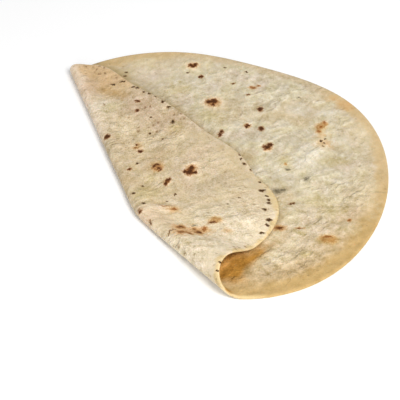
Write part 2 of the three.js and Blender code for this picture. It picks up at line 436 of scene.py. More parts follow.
# Spots by kind, in the order that they are laid on: a pixel each, then a width and a depth in millimetres
BASE_SPOTS = {
    "pale": [
        (296, 110, 12, 9), (302, 161, 13, 11), (313, 152, 12, 12), (336, 141, 8, 5), (327, 114, 10, 4),
    ],
    "cream": [
        (301, 231, 12, 8), (361, 133, 10, 12), (278, 241, 13, 12), (345, 228, 11, 9), (369, 200, 8, 22),
    ],
    "olive": [
        # The first olive spot is painted shadow beside the flap's upper edge
        (176, 90, 13, 9), (209, 116, 12, 9), (333, 161, 13, 6), (285, 160, 6, 9), (270, 205, 10, 8),
        (306, 254, 5, 4), (318, 201, 12, 7), (330, 212, 11, 10),
    ],
    "blush": [(346, 104, 9, 8), (334, 99, 9, 5), (323, 143, 8, 9), (324, 136, 6, 6)],
    "smudge": [
        (306.4, 179.6, 3.8, 4.6), (277, 191, 5.6, 5.2), (283, 190, 4.4, 3.6), (287.6, 169.4, 2.6, 2.2),
        (299, 98, 2.2, 1.8),
    ],
    "gold": [
        (319, 128, 4.8, 6.8), (323, 126, 4.2, 5.6), (325.4, 239.6, 6.4, 6), (331, 240.4, 6.4, 6),
        (286, 164, 1.8, 2.2),
    ],
    "rust": [
        (253, 87.6, 4.4, 2.8), (258.4, 85.8, 3, 1.8), (300, 228, 4.4, 1.8), (324.6, 123.4, 2.4, 3.6),
        (318.4, 131.6, 2.6, 2.2), (321, 127.4, 2.4, 2), (327, 237.8, 6, 1.8), (349.8, 220.4, 2, 2.6),
        (279, 228, 6.4, 4.4),
    ],
    "halo": [(212.8, 102.5, 9.4, 9.6), (193, 66, 6.6, 6), (247.5, 125.5, 4.4, 4.4), (268, 149, 4.6, 5)],
    "brown": [
        (279, 228, 5.4, 2.4), (248, 95, 2.6, 1.8), (233, 84, 2, 1.8), (300.5, 228, 3, 1.6),
        (290.8, 204.7, 2.2, 1.6), (293.2, 203.5, 2.2, 1.6),
    ],
    "char": [
        (209.4, 101.6, 4.6, 3.6), (214, 101.2, 4, 4.6), (213.6, 105, 2.6, 3.4), (190.8, 65.8, 2.8, 3),
        (195.2, 65.6, 3, 3.4), (193, 67.4, 3.2, 2), (266.6, 148.2, 4.6, 4.6), (270, 145.4, 3.4, 3.8),
        (221.4, 132, 2.4, 3.6), (219.8, 135, 2.4, 3.4), (260, 109, 3.6, 4), (248.4, 125.4, 3.2, 2.6),
        (246.2, 127, 2.4, 2.4), (261, 128.6, 3.6, 4), (201, 77, 2.4, 3),
    ],
    "dot": [
        (246, 72, 1.9, 1.8), (225, 68, 1.5, 1.4), (188, 73, 1.7, 1.5), (321, 141, 1.6, 2),
        (325, 139, 1.1, 1.3), (324, 143, 1, 1.1), (323, 147, 1.2, 1.2), (126, 72, 1.8, 1.8),
        (125, 76, 2, 1.4),
    ],
}
RIM_DOT_PIXELS = [
    (111, 84), (113.4, 85), (124, 81.5), (121.6, 82), (134, 86.8), (137, 88), (143.6, 91.7), (150, 93),
    (156, 96), (168.5, 107), (240, 154), (241, 159), (244, 164), (251, 169.5), (260, 182.5),
    (263.5, 190.5), (261, 190.8), (267, 196), (269, 200), (269, 203), (265, 209), (269, 220),
    (267, 225), (262, 233),
]
RIM_DOT_SIZES = (1.5, 2.7)
RIM_DOT_SEED = 3
rim_dot_draw = np.random.default_rng(RIM_DOT_SEED)
rim_dots = [(x, y, *rim_dot_draw.uniform(*RIM_DOT_SIZES, 2)) for x, y in RIM_DOT_PIXELS]
FRECKLE_PIXELS = [
    (85.5, 66.8), (99.5, 66), (96.5, 69.4), (105, 67.4), (99.3, 73.8), (105, 73), (116.6, 77.4),
    (128.5, 118.4), (150.8, 106), (145, 107.4), (153.5, 125.2), (158.4, 122.2), (138.4, 127.4),
    (138.4, 131), (148.4, 127.4), (157, 131.4), (153.4, 136.4), (174, 115), (181, 113.4), (184, 118),
    (180, 119.6), (103.6, 104.6), (233.5, 247.4), (235.5, 249.4), (238.4, 247.8), (244.6, 247),
    (179, 246), (185, 252.6),
]
FRECKLE_WIDTH = 1.6
FRECKLE_DEPTH = 2
FLAP_SPOTS = {
    "pale": [(104, 104, 13, 12)],
    "cream": [
        (141, 150, 12, 12), (109, 113, 15, 16), (123, 130, 12, 13), (182, 138, 10, 8),
        # The last cream spot is painted light on the landing, where it turns away from the lamps
        (211, 160, 10, 12), (179, 216, 13, 9), (200, 240, 17, 11),
    ],
    # Pink spots below the pinch at the knee: partly pink tone, partly a painted highlight where that bulge
    # faces the light
    "pink": [(150, 216, 13, 11), (163, 209, 10, 5)],
    "mauve": [(142, 108, 16, 16), (160, 122, 15, 15), (174, 122, 12, 14), (88, 88, 10, 12)],
    "olive": [(147, 195, 12, 10), (112, 106, 8, 5), (176, 128, 7, 7), (151, 177.6, 6, 6)],
    "tan": [(106, 90, 8, 6), (114, 92.6, 9, 6), (122, 95.4, 8, 6)],
    "blush": [(228, 231, 4, 4), (173, 209.6, 5, 5), (138, 146, 5, 5), (157.4, 168, 6, 6)],
    "glow": [(181, 229.6, 10, 12), (190, 230.6, 10, 12), (199, 230.2, 11, 12)],
    "smudge": [(194.3, 225, 2.6, 2)],
    "gold": [(215.6, 219.8, 6, 5)],
    "rust": [
        (178, 226.8, 3.2, 5), (182.4, 226.4, 3, 4.6), (179.2, 231.8, 3, 5.4), (182.4, 231.4, 3, 5.2),
        (187.4, 232.4, 2.8, 5), (190, 233.2, 2.8, 5), (196, 232, 3.4, 5.4), (198.6, 231.4, 3.4, 6.4),
        (194, 228.4, 2.8, 3.4), (203.4, 229.6, 2.6, 4.4), (205, 228, 2.4, 4.4), (174, 209, 3.6, 3.4),
        (164, 207, 5, 1.2), (135.5, 147.4, 3, 1.6), (157.4, 167.8, 5.4, 5.4),
    ],
    "halo": [(191, 169.5, 8.4, 8.8), (167, 182, 3.6, 4.2)],
    "freckle": [(x, y, FRECKLE_WIDTH, FRECKLE_DEPTH) for x, y in FRECKLE_PIXELS],
    "brown": [
        (213, 222.6, 5, 2.4), (140.4, 211.6, 1.8, 2.6), (150, 223, 1, 4), (198.4, 231.8, 3.2, 4),
        (180.6, 226.2, 2.6, 2), (181, 231.8, 2.4, 1.6), (189.2, 233, 2, 1.4), (194, 228.4, 2, 1),
        (170.8, 230, 1.6, 1.4), (173.6, 229, 1.6, 0.8), (169, 232.6, 0.7, 1.7), (168, 235.4, 0.7, 2.2),
        (137, 144, 2.6, 1.6), (154.4, 166.4, 2.8, 3.2), (157.8, 164.8, 3.4, 1.8),
        (158.4, 168.6, 3.4, 1.6), (160.4, 170.2, 2.4, 2.4),
    ],
    "char": [
        (185, 171.4, 3, 2.4), (189, 171.8, 4.8, 5), (194, 172.6, 3.8, 2.6), (191.6, 168.2, 3.2, 4.6),
        (168.4, 180.2, 2.6, 3.4), (165.6, 183.4, 3, 3.2), (107.5, 136.5, 3, 3.6),
        (140.4, 151, 3.2, 2.4), (129, 169, 2.6, 2.8), (137, 111, 2.4, 3), (137.5, 101, 3.2, 2),
    ],
    "dot": [
        (173, 122, 2, 3.6), (162.5, 101.8, 2.4, 2.8), (151, 117, 1.5, 1.6), (150, 132.6, 1.5, 1.6),
        (163, 139, 1.8, 1.6), (137, 164, 1.7, 1.7), (142, 186, 1.8, 1.6), (133, 194, 2, 1.6),
        (175, 194, 1.8, 1.6), (228, 204, 1.4, 1.2), (143.5, 204, 2, 2.2), (240, 198, 1.4, 1.2),
        (167, 201, 1.8, 1.2), (219.6, 262, 1.3, 1.2), (217.2, 270, 1.3, 1.2), *rim_dots,
    ],
}
BASE_SIDE = Side(base_place, -CAMERA_TURN, BASE_PLEATS, BASE_CREASES, BASE_RIDGES, BASE_SPOTS)
FLAP_SIDE = Side(flap_place, CAMERA_TURN, FLAP_PLEATS, FLAP_CREASES, FLAP_RIDGES, FLAP_SPOTS)


# The sheet as a mesh
def stage_distance(degrees, stage_length):
    """How far out each spoke passes a stage of the fold."""

    def past(distance):
        across, along = round_point(degrees, distance)
        fold = Fold(along)
        return fold.bend_start - across - stage_length(fold)

    furthest = np.full_like(degrees, 2 * ROUND_RADIUS)
    return np.where(past(furthest) < 0, furthest, bisect(past, 0 * degrees, furthest))


def ring_stops(degrees):
    """Where the rings cross each spoke, from the middle of the round to its rim."""
    rim = outline_radius(degrees)
    rim_start = rim - RIM_STEP_WIDTH
    relaxed = LEAST_RELAXED + (1 - LEAST_RELAXED) * smooth(BASE_SECTOR - np.abs(degrees), 0, RELAXING)
    stages = [
        (BASE_RINGS, stage_distance(degrees, lambda fold: 0)),
        (BEND_RINGS, stage_distance(degrees, lambda fold: fold.bend_length)),
        (LANDING_RINGS, stage_distance(degrees, lambda fold: fold.bend_length + fold.landing_length)),
        (FLAP_RINGS, rim_start),
        (RIM_RINGS, rim),
    ]
    fold_rings = BASE_RINGS + BEND_RINGS + LANDING_RINGS + FLAP_RINGS
    rings_left = fold_rings
    stops = [0 * degrees]
    for rings, end in stages:
        rings_left -= rings
        # A stage that the spoke doesn't reach stops short, with room left for the stages after it
        latest = rim if rings_left < 0 else rim_start * (1 - relaxed * rings_left / fold_rings)
        start = stops[-1]
        for step in range(1, rings + 1):
            stops.append(start + (np.minimum(end, latest) - start) * step / rings)
    return np.array(stops)


def sheet_points(across, along, on_inner_face, on_rim):
    """Places on the folded sheet, and the skin's relief there. The inner face is on top of the base."""
    fold = Fold(along)
    length = fold.bend_start - across
    x, z = fold.section(length)
    normal_x, normal_z = fold.normal(length)
    inside = inside_outline(across, along)
    from_rim = np.clip(inside / RIM_TAPER, 0, 1)
    half = np.where(on_rim, 0, MID_HEIGHT * np.sqrt(1 - (1 - from_rim) ** 2))
    if on_inner_face:
        bare = smooth(x - flap_reach(along, fold), 0, RIPPLE_FADE) * smooth(-length, 0, RIPPLE_FADE)
        relief = skin_relief(across, along, BASE_SIDE)
    else:
        bare = smooth(length - fold.bend_length, -RIPPLE_FADE, RIPPLE_FADE)
        relief = skin_relief(across, along, FLAP_SIDE)
    fade = bare * smooth(inside, 0, RIPPLE_FADE)
    offset = half + (ripple_height(across, along) + relief) * fade
    if not on_inner_face:
        offset = -offset
    lift = curl_height(x, along) + swell_height(length, along, fold)
    points = np.stack([x + normal_x * offset, along, z + normal_z * offset + lift], axis=-1)
    return points, relief * fade


def spoke_directions():
    zones = [np.linspace(start, end, count, endpoint=False) for start, end, count in SPOKE_ZONES]
    return np.concatenate(zones)


def face_loops(rings, spokes):
    """Corner numbers of a face's patches, ring by ring, round a middle corner that comes first."""
    following = np.roll(np.arange(spokes), -1)
    fan = [(0, 1 + here, 1 + there) for here, there in enumerate(following)]
    patches = []
    for ring in range(rings - 1):
        inner = 1 + ring * spokes
        outer = inner + spokes
        for here, there in enumerate(following):
            patches.append((inner + here, outer + here, outer + there, inner + there))
    return fan + patches


def bread_mesh():
    """The mesh, set where the solid stands, and how far its foot was from there in millimetres."""
    degrees = spoke_directions()
    stops = ring_stops(degrees)
    across, along = round_point(degrees, stops[1:])
    across = np.concatenate([[ROUND_CENTRE[0]], across.ravel()])
    along = np.concatenate([[ROUND_CENTRE[1]], along.ravel()])
    corners = np.arange(len(across))
    on_rim = corners >= len(across) - len(degrees)
    inner, inner_relief = sheet_points(across, along, True, on_rim)
    outer, outer_relief = sheet_points(across, along, False, on_rim)

    # The outer face shares the rim's corners with the inner one
    inner_faces = face_loops(len(stops) - 1, len(degrees))
    numbers = np.where(on_rim, corners, corners + len(across))
    outer_faces = [tuple(int(numbers[corner]) for corner in reversed(loop)) for loop in inner_faces]
    own = ~on_rim
    points = np.concatenate([inner, outer[own]])

    low = points.min(axis=0)
    high = points.max(axis=0)
    shift = np.array([(low[0] + high[0]) / 2, (low[1] + high[1]) / 2, low[2]])
    cad_middle = (BREAD_BOX[0] + BREAD_BOX[1]) / 2
    cad_foot = np.array([cad_middle.x, cad_middle.y, BREAD_BOX[0].z])
    mesh = bpy.data.meshes.new("folded_paratha")
    mesh.from_pydata((points - shift) * MM + cad_foot, [], inner_faces + outer_faces)
    mesh.update()
    mesh.shade_smooth()
    material_numbers = np.repeat([0, 1], [len(inner_faces), len(outer_faces)])
    mesh.polygons.foreach_set("material_index", material_numbers)

    flat_across = np.concatenate([across, across[own]])
    flat_along = np.concatenate([along, along[own]])
    add_measures(mesh, flat_across, flat_along, np.concatenate([inner_relief, outer_relief[own]]))
    return mesh, shift


def add_measures(mesh, across, along, relief):
    """Gives the materials each corner's flat place, its relief and its distances on the sheet."""
    fold = Fold(along)
    over = fold.bend_start - across
    measures = {
        "inside": inside_outline(across, along),
        "over_fold": over,
        "covered": flap_reach(along, fold) - fold.section(over)[0],
        "relief": relief,
    }
    flat = np.stack([across, along, 0 * across], axis=-1)
    add_attribute(mesh, "flat", "FLOAT_VECTOR", "vector", flat)
    for name, values in measures.items():
        add_attribute(mesh, name, "FLOAT", "value", values)


def add_attribute(mesh, name, kind, field, values):
    attribute = mesh.attributes.new(name, kind, "POINT")
    attribute.data.foreach_set(field, np.ascontiguousarray(values, dtype=np.float32).ravel())


# Materials
def srgb(red, green, blue, alpha=1):
    """A colour as seen on a screen, as linear light."""
    shares = [value / 255 for value in (red, green, blue)]
    linear = [s / 12.92 if s <= 0.04045 else ((s + 0.055) / 1.055) ** 2.4 for s in shares]
    return (*linear, alpha)


class Nodes:
    """Short ways to add shader nodes and link them."""

    # Numbers of the Mix node's colour sockets, which share their names with its other sockets
    MIX_BELOW = 6
    MIX_ABOVE = 7
    MIX_RESULT = 2

    def __init__(self, material):
        material.use_nodes = True
        self.tree = material.node_tree
        self.tree.nodes.clear()

    def put(self, socket, value):
        if isinstance(value, bpy.types.NodeSocket):
            self.tree.links.new(value, socket)
        else:
            socket.default_value = value

    def add(self, kind, inputs=None, **settings):
        node = self.tree.nodes.new("ShaderNode" + kind)
        for name, value in settings.items():
            setattr(node, name, value)
        for name, value in (inputs or {}).items():
            self.put(node.inputs[name], value)
        return node

    def attribute(self, name, output):
        return self.add("Attribute", attribute_name=name).outputs[output]

    def math(self, operation, *values):
        return self.add("Math", dict(enumerate(values)), operation=operation).outputs[0]

    def vector(self, operation, *values):
        return self.add("VectorMath", dict(enumerate(values)), operation=operation).outputs

    def noise(self, place, size, detail, roughness):
        """Cloudy noise whose patches are about a size across, as its value and its colour."""
        inputs = {"Vector": place, "Scale": 1 / size, "Detail": detail, "Roughness": roughness}
        outputs = self.add("TexNoise", inputs, noise_dimensions="2D").outputs
        return outputs[0], outputs[1]

    def channel(self, colour, name):
        return self.add("SeparateColor", {"Color": colour}).outputs[name]

    def centred(self, noise, size):
        """A noise's value as a measure about 0, of a size from its lowest to its highest."""
        return self.math("MULTIPLY", self.math("SUBTRACT", noise, NOISE_MIDDLE), size)

    def strayed(self, place, noise_colour, size):
        """A place, moved aside by a noise's colour within a square of a size."""
        aside = self.vector("SUBTRACT", noise_colour, (NOISE_MIDDLE, NOISE_MIDDLE, NOISE_MIDDLE))[0]
        return self.vector("MULTIPLY_ADD", aside, (size, size, 0), place)[0]

    def ranged(self, value, low, high, start=0, end=1):
        """Goes smoothly from a start to an end as a value goes from low to high."""
        inputs = {"Value": value, "From Min": low, "From Max": high, "To Min": start, "To Max": end}
        return self.add("MapRange", inputs, interpolation_type="SMOOTHSTEP").outputs[0]

    def mixed(self, factor, below, above):
        node = self.add("Mix", {"Factor": factor}, data_type="RGBA")
        self.put(node.inputs[self.MIX_BELOW], below)
        self.put(node.inputs[self.MIX_ABOVE], above)
        return node.outputs[self.MIX_RESULT]

    def ramp(self, value, stops):
        """Colours along a value, as the colour and its alpha."""
        node = self.add("ValToRGB", {"Fac": value})
        elements = node.color_ramp.elements
        while len(elements) < len(stops):
            elements.new(1)
        for element, (position, colour) in zip(elements, stops):
            element.position = position
            element.color = colour
        return node.outputs[0], node.outputs[1]

    def squared(self, place, side):
        """A flat place in the axes of a side that run square to the photograph."""
        wide = self.vector("DOT_PRODUCT", place, side.wide)["Value"]
        deep = self.vector("DOT_PRODUCT", place, side.deep)["Value"]
        return self.add("CombineXYZ", {"X": wide, "Y": deep}).outputs[0]

    def surface(self, inputs):
        shader = self.add("BsdfPrincipled", inputs).outputs[0]
        self.add("OutputMaterial", {"Surface": shader})

    def nearest(self, place, spots):
        """Distance from the nearest of some spots, in shares of that spot's own size."""
        least = None
        for spot in spots:
            local = self.vector("MULTIPLY_ADD", place, spot.scale, spot.shift)[0]
            distance = self.vector("LENGTH", local)["Value"]
            least = distance if least is None else self.math("SMOOTH_MIN", least, distance, SPOT_MERGE)
        return least


class Stain:
    """The colours of a kind of spot, from its middle outwards.

    Each stop is a share of STAIN_REACH half sizes of the spot, then red, green, blue and how far they cover.
    """

    def __init__(self, *stops, soft=False):
        self.stops = [(share, srgb(*colour)) for share, *colour in stops]
        self.soft = soft


# How far a stain's last stop may reach, and how softly neighbouring spots run together, in half sizes
STAIN_REACH = 2.5
SPOT_MERGE = 0.5
STAINS = {
    "halo": Stain(
        (0, 138, 90, 46, 0.95), (0.22, 166, 114, 64, 0.9), (0.38, 212, 176, 132, 0.75),
        (0.5, 228, 204, 170, 0.6), (0.72, 226, 208, 176, 0),
    ),
    "char": Stain(
        (0, 66, 36, 14), (0.26, 84, 47, 19), (0.38, 124, 76, 37, 0.9), (0.5, 164, 120, 72, 0.5),
        (0.66, 190, 150, 100, 0),
    ),
    "brown": Stain(
        (0, 84, 48, 22), (0.2, 98, 58, 28), (0.34, 136, 92, 48, 0.85), (0.5, 178, 138, 90, 0.4),
        (0.7, 200, 168, 120, 0),
    ),
    "dot": Stain(
        (0, 64, 42, 20), (0.26, 74, 50, 26), (0.4, 130, 98, 58, 0.75), (0.6, 190, 156, 112, 0),
    ),
    "freckle": Stain((0, 120, 88, 54, 0.8), (0.3, 144, 110, 74, 0.6), (0.6, 170, 138, 100, 0)),
    "gold": Stain(
        (0, 182, 138, 74, 0.85), (0.24, 168, 120, 58, 0.9), (0.38, 188, 148, 86, 0.75),
        (0.55, 204, 172, 114, 0.35), (0.8, 208, 182, 130, 0),
    ),
    "rust": Stain(
        (0, 134, 84, 36), (0.24, 152, 98, 46, 0.9), (0.4, 188, 142, 88, 0.7), (0.7, 208, 172, 124, 0),
    ),
    "blush": Stain(
        (0, 206, 162, 108, 0.7), (0.3, 208, 168, 114, 0.55), (0.8, 210, 176, 126, 0), soft=True,
    ),
    "glow": Stain(
        (0, 218, 168, 112, 0.75), (0.3, 220, 174, 120, 0.6), (0.6, 224, 186, 138, 0), soft=True,
    ),
    "olive": Stain(
        (0, 188, 170, 110, 0.5), (0.3, 190, 172, 114, 0.4), (0.8, 194, 178, 124, 0), soft=True,
    ),
    "tan": Stain((0, 172, 138, 84, 0.7), (0.3, 176, 144, 92, 0.5), (0.7, 184, 156, 110, 0), soft=True),
    "pale": Stain(
        (0, 222, 214, 197, 0.6), (0.35, 219, 210, 192, 0.4), (0.85, 214, 204, 184, 0), soft=True,
    ),
    "cream": Stain(
        (0, 224, 207, 173, 0.5), (0.35, 222, 204, 170, 0.35), (0.85, 216, 198, 164, 0), soft=True,
    ),
    "pink": Stain(
        (0, 226, 202, 174, 0.7), (0.35, 224, 199, 170, 0.5), (0.85, 220, 196, 166, 0), soft=True,
    ),
    "mauve": Stain(
        (0, 192, 166, 138, 0.6), (0.35, 194, 168, 140, 0.45), (0.85, 190, 168, 140, 0), soft=True,
    ),
    "smudge": Stain((0, 86, 77, 57, 0.95), (0.25, 112, 102, 78, 0.75), (0.6, 156, 144, 114, 0)),
}

# Colours of the skin and of the tints laid over it, some of which are painted shade, shadow, light and glow
SKIN_GREY = srgb(203, 191, 167)
SKIN_YELLOW = srgb(200, 187, 153)
SKIN_TAN = srgb(190, 168, 132)
SKIN_PINK = srgb(204, 186, 166)
FLAP_TAN = srgb(195, 164, 122)
# Cream flecks, and the painted highlight on raised places and wrinkle crests
SKIN_CREAM_AND_HIGHLIGHT = srgb(234, 224, 200)
# Dark flecks, and the painted shade in hollows
SKIN_DARK_AND_SHADE = srgb(160, 140, 102)
SPECK = srgb(128, 96, 62)
RIM_GOLD = srgb(200, 172, 125)
RIM_DULL = srgb(194, 172, 136)
RIM_SMOOTH = srgb(190, 168, 131)
RIM_LOWER = srgb(186, 154, 98)
# Painted shadow: the darker band that the flap's edge casts on the base beside it
FLAP_EDGE_PAINTED_SHADOW = srgb(168, 146, 102)
RIM_PALE = srgb(216, 198, 170)
RIM_CREAM = srgb(212, 187, 138)
CORNER_TAN = srgb(204, 171, 128)
# Painted light: a pale band on the side of the fold's bend near the corner, where the bend turns away from
# the lamps
FOLD_PAINTED_LIGHT = srgb(234, 216, 194)
LOWER_GOLD = srgb(200, 167, 110)
LOWER_TAN = srgb(182, 151, 106)
MOUTH_PINK = srgb(231, 213, 184)
MOUTH_TAN = srgb(188, 160, 114)
# Painted warm shade inside the fold's mouth, for the shade there and the warm light that bounces and shines
# through the thin dough
MOUTH_PAINTED_GOLDEN_SHADE = srgb(172, 122, 46)
# Painted glow: a brighter colour on the base under the flap's overhang, lifting it out of the shadow there
MOUTH_PAINTED_GLOW = srgb(218, 162, 86)

# Layers of the skin's colour, each from one value of a field to another, with its strength there; the relief
# layers paint raised places lighter and hollows darker, and the wrinkle layer paints wrinkle crests lighter:
# painted highlight and shade
SKIN_LAYERS = [
    ("patch", 0.36, 0.62, 1, SKIN_YELLOW),
    ("broad", 0.5, 0.68, 0.6, SKIN_TAN),
    ("broad", 0.46, 0.32, 0.6, SKIN_PINK),
    ("relief", 0, 0.5, 0.35, SKIN_CREAM_AND_HIGHLIGHT),
    ("relief", 0, -0.5, 0.4, SKIN_DARK_AND_SHADE),
    ("fleck", 0.52, 0.74, 0.3, SKIN_CREAM_AND_HIGHLIGHT),
    ("fleck", 0.45, 0.25, 0.3, SKIN_DARK_AND_SHADE),
    ("wrinkle", 0.1, 0.9, 0.25, SKIN_CREAM_AND_HIGHLIGHT),
]

# Noise of the skin, as the size of its patches in millimetres, its detail and its roughness
BROAD_NOISE = (36, 2, 0.55)
PATCH_NOISE = (11, 2, 0.5)
BLOTCH_NOISE = (5, 3, 0.6)
FLECK_NOISE = (2.6, 4, 0.65)
GRAIN_NOISE = (0.9, 3, 0.7)
WRINKLE_NOISE = (1, 3, 0.55)
WRINKLE_PATCH_NOISE = (30, 2, 0.55)
NOISE_MIDDLE = 0.5

# Wrinkles in the skin and specks on it
WRINKLE_LENGTH = 11
WRINKLE_GAP = 5
WRINKLE_SWERVE = 11
WRINKLE_RISE = (0.3, 0.7)
WRINKLE_PATCH_RISE = (0.42, 0.58)
LEAST_WRINKLED = 0.2
SPECK_GAP = 3.2
SPECK_RADIUS = 0.9
SPECK_EDGE = (0.02, -0.06)
SPECK_STRENGTH = 0.3

# How unevenly spots, soft stains and tints end
SPOT_SWERVE = 3.4
SPOT_FRAY = 0.9
SOFT_FRAY = 2.4
TINT_WOBBLE = 9

# How much each field of the skin lightens it, most in blue, and how high it stands out in millimetres;
# blotch, fleck and grain also raise the bump, so their lightening is partly painted light and shade
FIELD_TONES_AND_PAINTED_SHADES = {"patch": 0.36, "blotch": 0.7, "fleck": 0.25}
FIELD_HEIGHTS = {"wrinkle": 0.5, "blotch": 0.5, "fleck": 0.34, "grain": 0.16}
SHADE_CHANNELS = (0.92, 1, 1.45)

# Where the mottling changes: at the smooth rim, and along the bread as from, to and the strength reached
SMOOTH_RIM_INSIDE = (16, 3)
SMOOTH_RIM_ALONG = (66, 46)
SMOOTH_RIM_LOSS = 0.6
LOWER_MOTTLING = (-10, -50, 1.5)
UPPER_ALONG = (0, 80)
CORNER_MOTTLING = (96, 116, 0.55)

# How the two faces differ
BASE_LOOKS = {"speck_share": 0.1, "grain_shade": 0.4, "upper_mottling": 1}
FLAP_LOOKS = {"speck_share": 0.4, "grain_shade": 0.75, "upper_mottling": 1.3}
# The shader's values, with the roughness rising between two values of the patches' noise
ROUGHNESS_RISE = (0.3, 0.7)
SKIN_ROUGHNESS = (0.6, 0.8)
SKIN_SPECULAR = 0.12
SUBSURFACE_WEIGHT = 0.08
SUBSURFACE_RADIUS = (1, 0.55, 0.25)
SUBSURFACE_SCALE = 1.5


class Skin:
    """What a dough material is worked out from: measures of the place, and uneven fields."""

    def __init__(self, nodes, wrinkle_facing):
        self.flat = nodes.attribute("flat", "Vector")
        self.measures = {
            "along": nodes.add("SeparateXYZ", {"Vector": self.flat}).outputs["Y"],
            "inside": nodes.attribute("inside", "Fac"),
            "over": nodes.attribute("over_fold", "Fac"),
            "covered": nodes.attribute("covered", "Fac"),
        }
        broad, _ = nodes.noise(self.flat, *BROAD_NOISE)
        patch, patch_colour = nodes.noise(self.flat, *PATCH_NOISE)
        blotch, _ = nodes.noise(self.flat, *BLOTCH_NOISE)
        fleck, self.fleck_colour = nodes.noise(self.flat, *FLECK_NOISE)
        grain, _ = nodes.noise(self.flat, *GRAIN_NOISE)
        swerved = nodes.strayed(self.flat, patch_colour, WRINKLE_SWERVE)
        self.fields = {
            "broad": broad,
            "patch": patch,
            "blotch": blotch,
            "fleck": fleck,
            "grain": grain,
            "wrinkle": wrinkles(nodes, self.flat, swerved, wrinkle_facing),
            "relief": nodes.attribute("relief", "Fac"),
        }


def wrinkles(nodes, flat, swerved, facing):
    """Crooked fine wrinkles that mostly run one way and come and go in patches, higher towards 1."""
    inputs = {
        "Vector": swerved,
        "Rotation": (0, 0, math.radians(facing)),
        "Scale": (WRINKLE_LENGTH, WRINKLE_GAP, 1),
    }
    stretched = nodes.add("Mapping", inputs, vector_type="TEXTURE").outputs[0]
    height, _ = nodes.noise(stretched, *WRINKLE_NOISE)
    _, patch_colour = nodes.noise(flat, *WRINKLE_PATCH_NOISE)
    share = nodes.ranged(nodes.channel(patch_colour, "Green"), *WRINKLE_PATCH_RISE, LEAST_WRINKLED, 1)
    return nodes.math("MULTIPLY", nodes.ranged(height, *WRINKLE_RISE), share)


def mottled(nodes, skin):
    """The skin's own colour, from its layers."""
    colour = SKIN_GREY
    for field, start, end, strength, layer_colour in SKIN_LAYERS:
        share = nodes.ranged(skin.fields[field], start, end, 0, strength)
        colour = nodes.mixed(share, colour, layer_colour)
    return colour


class Tint:
    """A colour laid over the skin, from none at a measure's first value to its strength at the second."""

    def __init__(self, colour, strength, *spans):
        self.colour = colour
        self.strength = strength
        self.spans = spans


def tinted(nodes, skin, colour, tints):
    wobble = nodes.centred(skin.fields["patch"], TINT_WOBBLE)
    for tint in tints:
        factor = tint.strength
        for measure, start, end in tint.spans:
            share = nodes.ranged(nodes.math("ADD", skin.measures[measure], wobble), start, end)
            factor = nodes.math("MULTIPLY", share, factor)
        colour = nodes.mixed(factor, colour, tint.colour)
    return colour


def specked(nodes, skin, colour, speck_share):
    """Tiny scattered specks in a share of the cells."""
    inputs = {"Vector": skin.flat, "Scale": 1 / SPECK_GAP}
    cells = nodes.add("TexVoronoi", inputs, voronoi_dimensions="2D").outputs
    chosen = nodes.ranged(nodes.channel(cells["Color"], "Red"), 1 - speck_share, 1)
    radius = nodes.math("MULTIPLY", chosen, SPECK_RADIUS / SPECK_GAP)
    in_speck = nodes.ranged(nodes.math("SUBTRACT", cells["Distance"], radius), *SPECK_EDGE)
    return nodes.mixed(nodes.math("MULTIPLY", in_speck, SPECK_STRENGTH), colour, SPECK)


def stained(nodes, skin, colour, side):
    """Spots with crooked outlines, each kind in its stain's colours."""
    squared = nodes.squared(nodes.strayed(skin.flat, skin.fleck_colour, SPOT_SWERVE), side)
    fray = nodes.centred(skin.fields["grain"], SPOT_FRAY)
    soft_patch = nodes.centred(skin.fields["patch"], SOFT_FRAY)
    soft_fray = nodes.math("ADD", nodes.centred(skin.fields["fleck"], SOFT_FRAY), soft_patch)
    for kind, spots in side.spots.items():
        stain = STAINS[kind]
        edge = soft_fray if stain.soft else fray
        distance = nodes.math("ADD", nodes.nearest(squared, spots), edge)
        stain_colour, cover = nodes.ramp(nodes.math("DIVIDE", distance, STAIN_REACH), stain.stops)
        colour = nodes.mixed(cover, colour, stain_colour)
    return colour


def mottling_strength(nodes, skin, upper_mottling):
    """How strongly the skin's fields shade it and stand out, by place."""
    along = skin.measures["along"]
    at_rim = nodes.ranged(skin.measures["inside"], *SMOOTH_RIM_INSIDE)
    smooth_rim = nodes.math("MULTIPLY", at_rim, nodes.ranged(along, *SMOOTH_RIM_ALONG))
    strength = nodes.math("MULTIPLY_ADD", smooth_rim, -SMOOTH_RIM_LOSS, 1)
    for start, end, reached in [LOWER_MOTTLING, (*UPPER_ALONG, upper_mottling), CORNER_MOTTLING]:
        strength = nodes.math("MULTIPLY", strength, nodes.ranged(along, start, end, 1, reached))
    return strength


def toned_and_painted_shade(nodes, skin, colour, strength, grain_shade):
    """A colour, lightened and darkened by the skin's fields: partly tone that varies at random, partly
    painted light and shade that follows the bump.
    """
    field_shades = {**FIELD_TONES_AND_PAINTED_SHADES, "grain": grain_shade}
    shade = 1 - sum(field_shades.values()) / 2
    for field, size in field_shades.items():
        shade = nodes.math("MULTIPLY_ADD", skin.fields[field], size, shade)
    lighter = nodes.math("MULTIPLY", nodes.math("SUBTRACT", shade, 1), strength)
    shades = nodes.vector("MULTIPLY_ADD", lighter, SHADE_CHANNELS, (1, 1, 1))[0]
    return nodes.vector("MULTIPLY", colour, shades)[0]


def skin_bump(nodes, skin, strength):
    height = 0
    for field, size in FIELD_HEIGHTS.items():
        height = nodes.math("MULTIPLY_ADD", skin.fields[field], size, height)
    height = nodes.math("MULTIPLY", height, strength)
    return nodes.add("Bump", {"Height": height, "Strength": 1, "Distance": MM}).outputs[0]


